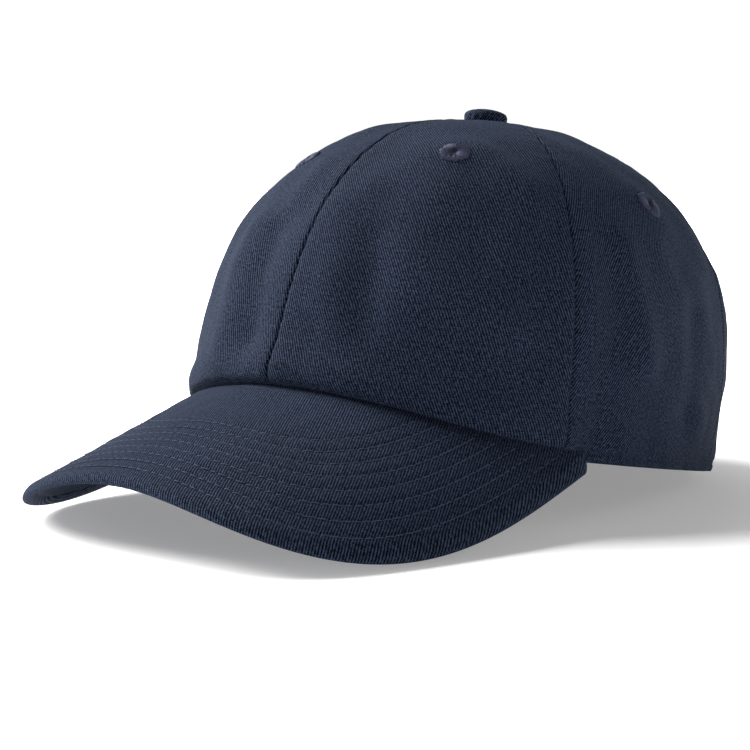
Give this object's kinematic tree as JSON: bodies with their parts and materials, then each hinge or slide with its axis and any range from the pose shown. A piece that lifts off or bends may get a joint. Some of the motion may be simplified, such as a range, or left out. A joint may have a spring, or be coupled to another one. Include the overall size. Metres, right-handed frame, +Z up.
{
  "type": "baseball cap",
  "caption": "Soft six-panel cap with a curved stitched brim, sewn eyelets, top button, sweatband and an adjustable back strap with a flip buckle.",
  "frame": {"origin": "centre of the footprint of the cap as it rests on its brim edges and back hem, on the table plane", "axes": "+Z up, -Y the way the brim points, +X the wearer's left"},
  "size_m": [0.1792, 0.2686, 0.1316],
  "materials": {
    "crown_twill": "navy cotton twill with fine diagonal ribs",
    "brim_twill": "navy cotton twill, rows of stitching",
    "brim_under_twill": "navy cotton twill",
    "button_twill": "navy cotton twill stretched over a disc",
    "strap_twill": "navy cotton twill, folded and stitched",
    "eyelet_thread": "satin-stitched polyester thread",
    "seam_tape": "woven navy cotton tape",
    "sweatband_twill": "navy cotton twill, soft",
    "binding_tape": "navy bias tape",
    "foam": "thin open-cell foam and felt",
    "label_cloth": "blank white woven label",
    "board_plastic": "flexible polyethylene brim board",
    "button_metal": "stamped aluminium",
    "buckle_brass": "antique brass, satin",
    "lever_brass": "antique brass, satin",
    "pin_steel": "plated steel"
  },
  "bodies": {
    "cap": {"back_opening_tape": "seam_tape", "back_panel_left": "crown_twill", "back_panel_right": "crown_twill", "brim_board": "board_plastic", "brim_top_cover": "brim_twill", "brim_under_cover": "brim_under_twill", "buckle_frame": "buckle_brass", "buckle_loop": "strap_twill", "buckle_pin": "pin_steel", "care_label": "label_cloth", "eyelet_back_left": "eyelet_thread", "eyelet_back_right": "eyelet_thread", "eyelet_front_left": "eyelet_thread", "eyelet_front_right": "eyelet_thread", "eyelet_side_left": "eyelet_thread", "eyelet_side_right": "eyelet_thread", "front_panel_left": "crown_twill", "front_panel_right": "crown_twill", "seam_tape_center": "seam_tape", "seam_tape_left_front_to_right_back": "seam_tape", "seam_tape_right_front_to_left_back": "seam_tape", "side_panel_left": "crown_twill", "side_panel_right": "crown_twill", "sweatband": "sweatband_twill", "sweatband_binding": "binding_tape", "sweatband_padding": "foam", "top_button_core": "button_metal", "top_button_cover": "button_twill", "top_button_rivet": "button_metal"},
    "strap": {"strap": "strap_twill"},
    "buckle_lever": {"buckle_lever": "lever_brass"}
  },
  "joints": [
    {"name": "buckle_lever_hinge", "type": "hinge", "parent": "cap", "child": "buckle_lever", "pos_m": [-0.01899, 0.1249, 0.01272], "axis": [0.0306, -0.2627, -0.9644], "range_deg": [0, 110]},
    {"name": "strap_slide", "type": "hinge", "parent": "cap", "child": "strap", "pos_m": [0, 0.04569, 0.01098], "axis": [0, 0.165, 0.9863], "range_deg": [-9, 9]}
  ]
}
